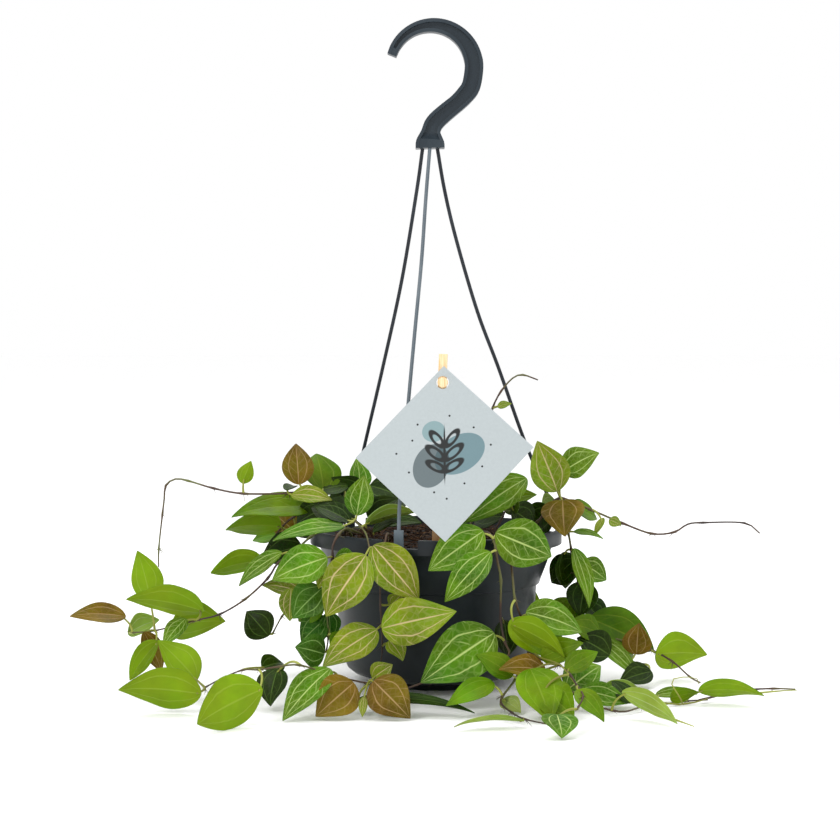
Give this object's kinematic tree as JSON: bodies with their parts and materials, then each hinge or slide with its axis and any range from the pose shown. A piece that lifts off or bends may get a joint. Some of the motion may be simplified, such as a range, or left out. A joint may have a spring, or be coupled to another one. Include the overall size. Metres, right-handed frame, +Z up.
{
  "type": "potted dischidia",
  "caption": "Trailing dischidia with veined leaves in a dark plastic hanging pot, with a strap hanger, a hook and a square plant label.",
  "frame": {"origin": "the middle of the underside of the pot's foot, on the surface that the pot stands on", "axes": "+Z up, -Y towards the front with the label, +X to the right as seen from the front"},
  "size_m": [0.4201, 0.3271, 0.3967],
  "materials": {
    "pot": "satin moulded polypropylene",
    "hanger": "satin moulded polypropylene",
    "soil": "coarse coir",
    "stick": "bare birch",
    "card": "matt printed card",
    "leaves": "waxy leaf"
  },
  "bodies": {
    "root": {"pot": "pot", "soil": "soil", "hook": "hanger", "strap_front": "hanger", "strap_left": "hanger", "strap_right": "hanger", "label_stick": "stick", "label_card": "card", "stem_crown_back": "leaves", "stem_crown_left": "leaves", "stem_crown_right": "leaves", "stem_curl": "leaves", "stem_front_centre": "leaves", "stem_front_left": "leaves", "stem_front_runner": "leaves", "stem_left_fan": "leaves", "stem_left_runner": "leaves", "stem_right_fall": "leaves", "stem_right_runner": "leaves", "stem_right_young": "leaves", "stem_young_left": "leaves", "stems_back": "leaves"}
  },
  "joints": []
}
